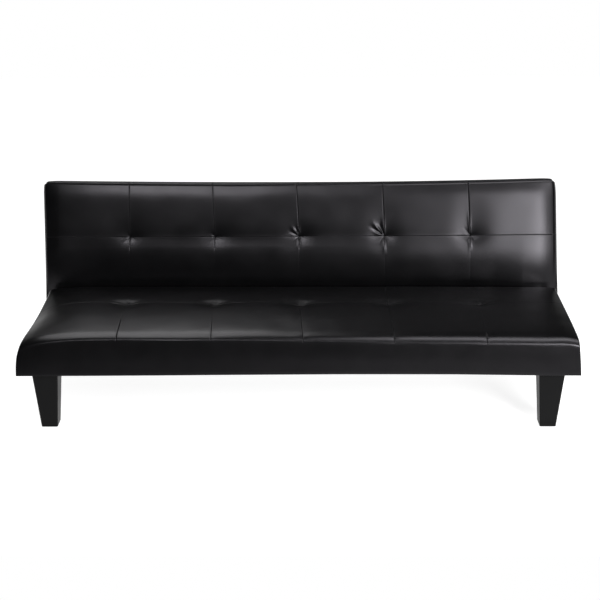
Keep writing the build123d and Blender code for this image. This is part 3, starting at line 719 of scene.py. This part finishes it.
def back_dimple(beside, above, below):
    """Depth of a tuft's dimple, which is sharp above and below."""
    up_and_down = np.exp(-above / BACK_DIMPLE_ABOVE - below / BACK_DIMPLE_BELOW)
    return DIMPLE_DEPTH * bell(beside, BACK_DIMPLE_ACROSS) * up_and_down


def back_edge_seam(a, b, c, low, high):
    """Distance from the seam just inside the rim of the back's face."""
    rims = (HALF - np.abs(a), high[1] - b, b - low[1])
    near = np.minimum.reduce([np.abs(rim - BACK_RIM) for rim in rims])
    return np.where(c > high[2] - SLIVER, near, 1)


def clear_of_pockets(points, a, b, way):
    """The face lifted where it would sink into a hinge pocket."""
    centre = (POCKET_INNER + POCKET_OUTER) / 2
    half = (POCKET_OUTER - POCKET_INNER) / 2
    beside = np.clip(np.abs(np.abs(a) - centre) - half, 0, None)
    over = np.clip(b - POCKET_TOP + POCKET_SLOPE_FROM, 0, None)
    least = POCKET_ROOF + POCKET_COVER - POCKET_SLOPE_ACROSS * beside - POCKET_SLOPE_UP * over
    short = np.clip((least - points[:, 2]) / POCKET_SOFTNESS, -OVERFLOW_LIMIT, OVERFLOW_LIMIT)
    facing = np.clip(POCKET_FACING * way[:, 2], 0, 1)
    points[:, 2] += facing * POCKET_SOFTNESS * np.logaddexp(0, short)


def back_shape(points, box, way, low, high):
    """The back's rolled foot, round corners and stray seams, from each point's place on the plain box."""
    a, b, c = box.T
    face = np.clip(way[:, 2], 0, 1)
    side = HALF - np.abs(a)
    deep = climb(b, low[1], high[1] - low[1])
    roll = np.clip((FOOT_ROLL_FROM - b) / FOOT_ROLL_SPAN, 0, FOOT_ROLL_MOST) ** 2
    inward = climb(side, FOOT_ROLL_END, FOOT_ROLL_END_FADE)
    points[:, 2] -= FOOT_ROLL * roll * face * (FOOT_ROLL_AT_ENDS + (1 - FOOT_ROLL_AT_ENDS) * inward)
    clear_of_pockets(points, a, b, way)
    points[:, 0] += END_LEAN * (1 - deep) * fade(side, END_LEAN_REACH)
    corner = np.exp(-(side + high[1] - b) / CORNER_REACH)
    points[:, 0] -= (np.sign(a) * CORNER_IN + CORNER_SHIFT) * corner
    points[:, 1] -= CORNER_DOWN * corner
    points[:, 1] += RIGHT_RISE * np.clip(a / HALF, 0, 1) ** 2 * deep
    above_row = climb(b, BACK_ROW, high[1] - BACK_ROW)
    below_row = climb(b, low[1], BACK_ROW - low[1])
    points[:, 0] += face * below_row * stray(a, BACK_ROW_STRAY, BACK_TOP_STRAY, above_row)
    points[:, 1] -= face * ROW_HANG * np.clip(-a / HALF, 0, 1) * bell(b - BACK_ROW, ROW_HANG_WIDTH)


def back_cut(points, box, low, high):
    """The pocket round each hinge, and the shallow recess that the rear cloth lies in."""
    a, b, c = box.T
    within = (b > low[1] + BACK_CLOTH_END) & (b < high[1] - BACK_CLOTH_END)
    recess = within & (np.abs(a) < HALF - BACK_CLOTH_SIDE) & (c < low[2] + SLIVER)
    points[recess, 2] = low[2] + CLOTH_RECESS
    pocket = (np.abs(a) > POCKET_INNER) & (np.abs(a) < POCKET_OUTER) & (b < POCKET_TOP)
    points[pocket, 2] = np.maximum(points[pocket, 2], POCKET_ROOF)


# How the cover is pulled at three of the back's tufts, by seam: angle, length and height of each crease
back_strong = {
    2: [
        (128, 0.050, 0.0024), (150, 0.042, -0.0022), (108, 0.040, -0.0018), (90, 0.045, 0.0016),
        (270, 0.05, 0.0012),
    ],
    3: [
        (131, 0.072, 0.0036), (145, 0.060, -0.0034), (160, 0.046, 0.0022), (112, 0.052, -0.0026),
        (94, 0.070, 0.0026), (270, 0.07, 0.0016),
    ],
    4: [(92, 0.080, 0.0014), (270, 0.06, 0.0014)],
}
back_walls = [HALF - BACK_CLOTH_SIDE, POCKET_INNER, POCKET_OUTER]
back_settings = {
    "origin": PIVOT,
    "axes": [(1, 0, 0), (0, math.sin(LEAN), math.cos(LEAN)), (0, -math.cos(LEAN), math.sin(LEAN))],
    "radius": BACK_RADIUS,
    "rim_mark": BACK_RIM,
    "band_mark": 0.007,
    "walls_across": [side * wall for wall in back_walls for side in (-1, 1)],
    "walls_along": (POCKET_TOP, BACK_LOW[1] + BACK_CLOTH_END, BACK_HIGH[1] - BACK_CLOTH_END),
    "swell": 0.8,
    "sides": 0.5,
    "crown": dict(
        full=0.26, rise=0.020, foot=-0.10, head=0.001, left=1, left_reach=0.10, right=0.45, right_reach=0.06
    ),
    "seed": 22,
    "tuft": 0.0082,
    "groove": (0.0011, 0.0011, 0.0014, 0.0020, 0.0022),
    "pucker": (0, 0, 0, 0, 0),
    "creases": tuft_creases(BACK_ROW, seed=5, strong=back_strong),
    "shown": back_shown,
    "row_shown": 1.0,
    "dimple": back_dimple,
    "edge_seam": back_edge_seam,
    "edge_shown": 1.0,
    "welt": 0.0004,
    "shape": back_shape,
    "cut": back_cut,
}

seat = make_slab("seat_cushion", SEAT_LOW, SEAT_HIGH, SEAT_ROW, seat_settings, "seat_base")
back = make_slab("back_cushion", BACK_LOW, BACK_HIGH, BACK_ROW, back_settings, "back")
for piece, covered in ((seat, ("seat_cover", "seat_foam")), (back, ("back_cover", "back_foam"))):
    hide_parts(*covered)


# Materials

# A wave texture with a scale of 1 over this and over a thread's width repeats about every two threads
THREAD_SCALE = 6.283


def material(name, colour, roughness, **sockets):
    """A new material with its nodes, links and shader; sockets are named with underscores for spaces."""
    made = bpy.data.materials.new(name)
    made.use_nodes = True
    shader = made.node_tree.nodes["Principled BSDF"]
    shader.inputs["Base Color"].default_value = (*colour, 1)
    shader.inputs["Roughness"].default_value = roughness
    for key, value in sockets.items():
        shader.inputs[key.replace("_", " ")].default_value = value
    return made, made.node_tree.nodes, made.node_tree.links, shader


def node(tree, kind, **values):
    """A new node with its settings and input values, named with underscores for spaces."""
    made = tree.new(kind)
    for key, value in values.items():
        if hasattr(made, key):
            setattr(made, key, value)
        else:
            made.inputs[key.replace("_", " ")].default_value = value
    return made


def texture(tree, links, kind, **values):
    """A texture node laid out along the object's own coordinates."""
    made = node(tree, kind, **values)
    links.new(tree.new("ShaderNodeTexCoord").outputs["Object"], made.inputs["Vector"])
    return made


def ramp(tree, links, source, low, high):
    """A value between 0 and 1 spread over a range."""
    made = node(tree, "ShaderNodeMapRange", To_Min=low, To_Max=high)
    links.new(source, made.inputs["Value"])
    return made.outputs["Result"]


def tint(tree, links, factor, dark, light):
    """A colour between two others."""
    made = node(tree, "ShaderNodeMix", data_type="RGBA")
    first, second = [socket for socket in made.inputs if socket.type == "RGBA"]
    first.default_value = (*dark, 1)
    second.default_value = (*light, 1)
    links.new(factor, made.inputs["Factor"])
    return [socket for socket in made.outputs if socket.type == "RGBA"][0]


def bump(tree, links, height, strength, distance, under=None):
    """Normals of a fine relief, laid over those of another where one is given."""
    made = node(tree, "ShaderNodeBump", Strength=strength, Distance=distance)
    links.new(height, made.inputs["Height"])
    if under:
        links.new(under, made.inputs["Normal"])
    return made.outputs["Normal"]


def leather(name, plain, dark, light):
    """Soft faux leather: pebbled, a little uneven in gloss, and duller where it is creased."""
    made, tree, links, shader = material(
        name, plain, 0.38, IOR=1.5, Specular_IOR_Level=0.22, Specular_Tint=(0.96, 0.925, 1.0, 1.0)
    )
    grain = texture(tree, links, "ShaderNodeTexVoronoi", Scale=850.0, Randomness=1.0)
    fine = texture(tree, links, "ShaderNodeTexNoise", Scale=2200.0, Detail=2.0)
    broad = texture(tree, links, "ShaderNodeTexNoise", Scale=16.0, Detail=3.0)
    crease = node(tree, "ShaderNodeAttribute", attribute_name="crease")
    rough = node(tree, "ShaderNodeMath", operation="ADD")
    links.new(ramp(tree, links, broad.outputs["Fac"], 0.28, 0.36), rough.inputs[0])
    links.new(ramp(tree, links, crease.outputs["Fac"], 0.0, 0.22), rough.inputs[1])
    links.new(rough.outputs["Value"], shader.inputs["Roughness"])
    links.new(tint(tree, links, broad.outputs["Fac"], dark, light), shader.inputs["Base Color"])
    pebbles = bump(tree, links, grain.outputs["Distance"], 0.10, 0.0004)
    links.new(bump(tree, links, fine.outputs["Fac"], 0.05, 0.0002, pebbles), shader.inputs["Normal"])
    return made


def painted(name, dark, light, roughness, scale, relief, gloss=0.5):
    """Lacquer, moulded plastic, powder coat or foam: a little uneven in colour, gloss and surface."""
    made, tree, links, shader = material(name, dark, roughness, Specular_IOR_Level=gloss)
    broad = texture(tree, links, "ShaderNodeTexNoise", Scale=scale / 40, Detail=4.0).outputs["Fac"]
    fine = texture(tree, links, "ShaderNodeTexNoise", Scale=scale, Detail=2.0).outputs["Fac"]
    links.new(tint(tree, links, broad, dark, light), shader.inputs["Base Color"])
    links.new(ramp(tree, links, broad, roughness - 0.06, roughness + 0.06), shader.inputs["Roughness"])
    links.new(bump(tree, links, fine, relief, 0.0003), shader.inputs["Normal"])
    return made


def metal(name, dark, light, roughness):
    """Plated steel, patchy in colour and gloss."""
    made, tree, links, shader = material(name, dark, roughness, Metallic=1.0)
    patch = texture(tree, links, "ShaderNodeTexNoise", Scale=180.0, Detail=4.0).outputs["Fac"]
    links.new(tint(tree, links, patch, dark, light), shader.inputs["Base Color"])
    links.new(ramp(tree, links, patch, roughness - 0.08, roughness + 0.10), shader.inputs["Roughness"])
    links.new(bump(tree, links, patch, 0.1, 0.0002), shader.inputs["Normal"])
    return made


def woven(name, dark, light, thread):
    """Cloth or webbing: two crossing sets of threads, hanging a little slack."""
    made, tree, links, shader = material(name, dark, 0.85)
    threads = dict(wave_type="BANDS", Scale=1 / thread / THREAD_SCALE, Distortion=0.6)
    first = texture(tree, links, "ShaderNodeTexWave", bands_direction="X", **threads)
    second = texture(tree, links, "ShaderNodeTexWave", bands_direction="DIAGONAL", **threads)
    weave = node(tree, "ShaderNodeMath", operation="MULTIPLY")
    links.new(first.outputs["Fac"], weave.inputs[0])
    links.new(second.outputs["Fac"], weave.inputs[1])
    slack = texture(tree, links, "ShaderNodeTexNoise", Scale=7.0, Detail=3.0).outputs["Fac"]
    links.new(tint(tree, links, weave.outputs["Value"], dark, light), shader.inputs["Base Color"])
    links.new(ramp(tree, links, slack, 0.75, 0.95), shader.inputs["Roughness"])
    thread_relief = bump(tree, links, weave.outputs["Value"], 0.4, 0.0005)
    links.new(bump(tree, links, slack, 0.35, 0.012, thread_relief), shader.inputs["Normal"])
    return made


def timber(name, plain, dark, light):
    """Sawn pine with its year rings."""
    made, tree, links, shader = material(name, plain, 0.65)
    rings = texture(
        tree, links, "ShaderNodeTexWave", wave_type="RINGS", Scale=9.0, Distortion=6.0, Detail=3.0
    )
    links.new(tint(tree, links, rings.outputs["Fac"], dark, light), shader.inputs["Base Color"])
    links.new(bump(tree, links, rings.outputs["Fac"], 0.2, 0.0004), shader.inputs["Normal"])
    return made


def grey(level):
    """A neutral colour."""
    return (level, level, level)


finish_of = {
    "cover": leather(
        "black_faux_leather", plain=grey(0.002), dark=(0.0008, 0.0008, 0.0009), light=(0.0014, 0.0014, 0.0015)
    ),
    "foam": painted(
        "foam", dark=(0.66, 0.58, 0.38), light=(0.74, 0.66, 0.46), roughness=0.9, scale=900, relief=0.5
    ),
    "pine": timber("pine", plain=(0.55, 0.38, 0.20), dark=(0.42, 0.27, 0.13), light=(0.62, 0.45, 0.26)),
    "webbing": woven("webbing", dark=grey(0.02), light=grey(0.09), thread=0.003),
    "cloth": woven("bottom_cloth", dark=grey(0.008), light=grey(0.025), thread=0.0012),
    "leg": painted(
        "black_lacquer", dark=(0.0016, 0.0016, 0.0018), light=(0.0028, 0.0028, 0.003), roughness=0.42,
        scale=700, relief=0.06, gloss=0.09
    ),
    "black_plastic": painted(
        "black_plastic", dark=grey(0.012), light=grey(0.02), roughness=0.55, scale=1500, relief=0.12
    ),
    "nylon": painted(
        "nylon", dark=(0.70, 0.69, 0.64), light=(0.78, 0.77, 0.72), roughness=0.45, scale=600, relief=0.05
    ),
    "black_steel": painted(
        "powder_coat", dark=(0.010, 0.010, 0.011), light=(0.018, 0.018, 0.019), roughness=0.48,
        scale=1400, relief=0.2
    ),
    "zinc_steel": metal("zinc_plate", dark=(0.46, 0.46, 0.45), light=(0.62, 0.62, 0.60), roughness=0.38),
}
slot_of = {part["node"]: part["material_slot"] for part in frame["record"]["subparts"]}
for name, obj in nodes.items():
    obj.data.materials.clear()
    obj.data.materials.append(finish_of[slot_of[name]])
for piece in (seat, back):
    piece.data.materials.append(finish_of["cover"])


# Stage

WHITE = (1, 1, 1, 1)
ROOM_LIGHT = 0.35
ROOM_IN_MIRROR = 0.02
# Where the backdrop begins and is full, by how far a ray points backwards and how far it points up
BACKDROP_SIDE = (0.25, 0.7)
BACKDROP_TOP = (0.20, 0.05)
FLOOR_GREY = 0.4
FLOOR_ROUGHNESS = 0.9
FLOOR_GLOW = 0.86
FLOOR_GAP = 0.0005
FLOOR_HALF_WIDTH = 5
FLOOR_FRONT = -1.2
FLOOR_REAR = 6


def area_lamp(name, place, aim, size, power):
    """A softbox at its place, turned to its aim, with its power in watts."""
    lamp = bpy.data.lights.new(name, "AREA")
    lamp.shape = "RECTANGLE"
    lamp.size, lamp.size_y = size
    lamp.energy = power
    obj = bpy.data.objects.new(name, lamp)
    obj.location = place
    obj.rotation_mode = "QUATERNION"
    obj.rotation_quaternion = (Vector(aim) - Vector(place)).to_track_quat("-Z", "Y")
    scene.collection.objects.link(obj)


area_lamp("softbox_right", place=(2.08, -3.25, 1.7), aim=(0.4, 0.1, 0.45), size=(1.1, 2.0), power=235)
area_lamp("softbox_front", place=(-0.9, -2.6, 3.2), aim=(-0.4, 0.2, 0.4), size=(1.4, 0.9), power=75)
area_lamp("softbox_over", place=(1.4, -0.3, 3.0), aim=(0.9, -0.35, 0.3), size=(1.2, 2.3), power=74)
area_lamp("softbox_rear", place=(-0.87, 1.7, 2.3), aim=(-0.42, -0.3, 0.3), size=(1.6, 1.0), power=20.5)


def math_of(tree, links, operation, first, second):
    """Two values joined by a sum, a product or the like."""
    made = node(tree, "ShaderNodeMath", operation=operation)
    links.new(first, made.inputs[0])
    links.new(second, made.inputs[1])
    return made.outputs["Value"]


def mix_of(tree, links, factor, first, second):
    """The first shader where the factor is 0 and the second where it is 1."""
    made = tree.new("ShaderNodeMixShader")
    links.new(factor, made.inputs["Fac"])
    links.new(first, made.inputs[1])
    links.new(second, made.inputs[2])
    return made.outputs["Shader"]


def smooth_step(tree, links, source, start, end):
    """A smooth change from 0 at the start to 1 at the end."""
    made = node(tree, "ShaderNodeMapRange", interpolation_type="SMOOTHSTEP", From_Min=start, From_Max=end)
    links.new(source, made.inputs["Value"])
    return made.outputs["Result"]


def make_world():
    """White where the camera looks, with a backdrop behind the object for reflections in a dim room."""
    world = bpy.data.worlds.new("studio")
    scene.world = world
    world.use_nodes = True
    tree = world.node_tree.nodes
    links = world.node_tree.links
    tree.clear()
    path = tree.new("ShaderNodeLightPath")
    lit = node(tree, "ShaderNodeBackground", Color=WHITE, Strength=ROOM_LIGHT)
    seen = node(tree, "ShaderNodeBackground", Color=WHITE, Strength=1.0)
    mirrored = node(tree, "ShaderNodeBackground", Color=WHITE)
    way = tree.new("ShaderNodeSeparateXYZ")
    links.new(tree.new("ShaderNodeTexCoord").outputs["Generated"], way.inputs["Vector"])
    behind = smooth_step(tree, links, way.outputs["Y"], *BACKDROP_SIDE)
    below_its_top = smooth_step(tree, links, way.outputs["Z"], *BACKDROP_TOP)
    backdrop = math_of(tree, links, "MULTIPLY", behind, below_its_top)
    links.new(ramp(tree, links, backdrop, ROOM_IN_MIRROR, 1.0), mirrored.inputs["Strength"])
    room = mix_of(
        tree, links, path.outputs["Is Glossy Ray"], lit.outputs["Background"], mirrored.outputs["Background"]
    )
    direct = math_of(
        tree, links, "MAXIMUM", path.outputs["Is Camera Ray"], path.outputs["Is Transmission Ray"]
    )
    shown = mix_of(tree, links, direct, room, seen.outputs["Background"])
    links.new(shown, tree.new("ShaderNodeOutputWorld").inputs["Surface"])


def make_floor():
    """Pale floor that looks white to the camera and in reflections, and keeps the object's shadow."""
    corners = [
        (-FLOOR_HALF_WIDTH, FLOOR_FRONT, 0), (FLOOR_HALF_WIDTH, FLOOR_FRONT, 0),
        (FLOOR_HALF_WIDTH, FLOOR_REAR, 0), (-FLOOR_HALF_WIDTH, FLOOR_REAR, 0),
    ]
    floor = new_object("floor", corners, [(0, 1, 2, 3)])
    floor.location.z = -FLOOR_GAP
    made, tree, links, shader = material("pale_floor", grey(FLOOR_GREY), FLOOR_ROUGHNESS)
    path = tree.new("ShaderNodeLightPath")
    glow = node(tree, "ShaderNodeEmission", Color=WHITE, Strength=FLOOR_GLOW)
    both = tree.new("ShaderNodeAddShader")
    links.new(shader.outputs["BSDF"], both.inputs[0])
    links.new(glow.outputs["Emission"], both.inputs[1])
    seen = math_of(tree, links, "MAXIMUM", path.outputs["Is Camera Ray"], path.outputs["Is Glossy Ray"])
    shown = mix_of(tree, links, seen, shader.outputs["BSDF"], both.outputs["Shader"])
    links.new(shown, tree["Material Output"].inputs["Surface"])
    floor.data.materials.append(made)


make_world()
make_floor()

# Camera fitted to the photograph: its focal length in pixels of the picture, its place and its angles
FOCAL_PIXELS = 1435
PICTURE_PIXELS = 600
SENSOR_MM = 36
CAMERA_PLACE = (0.048, -4.6165, 1.893)
CAMERA_REACH = 100
pitch = math.radians(18.89)
yaw = math.radians(-0.55)
roll = math.radians(-0.26)

camera = bpy.data.objects.new("camera", bpy.data.cameras.new("camera"))
scene.collection.objects.link(camera)
scene.camera = camera
camera.data.sensor_width = SENSOR_MM
camera.data.lens = FOCAL_PIXELS / PICTURE_PIXELS * SENSOR_MM
camera.data.clip_end = CAMERA_REACH
forward = Vector((math.sin(yaw) * math.cos(pitch), math.cos(yaw) * math.cos(pitch), -math.sin(pitch)))
level = forward.cross(Vector((0, 0, 1))).normalized()
upright = level.cross(forward)
right = level * math.cos(roll) + upright * math.sin(roll)
upward = upright * math.cos(roll) - level * math.sin(roll)
turn = Matrix((right, upward, -forward)).transposed().to_4x4()
camera.matrix_world = Matrix.Translation(CAMERA_PLACE) @ turn

scene.view_settings.view_transform = "Standard"
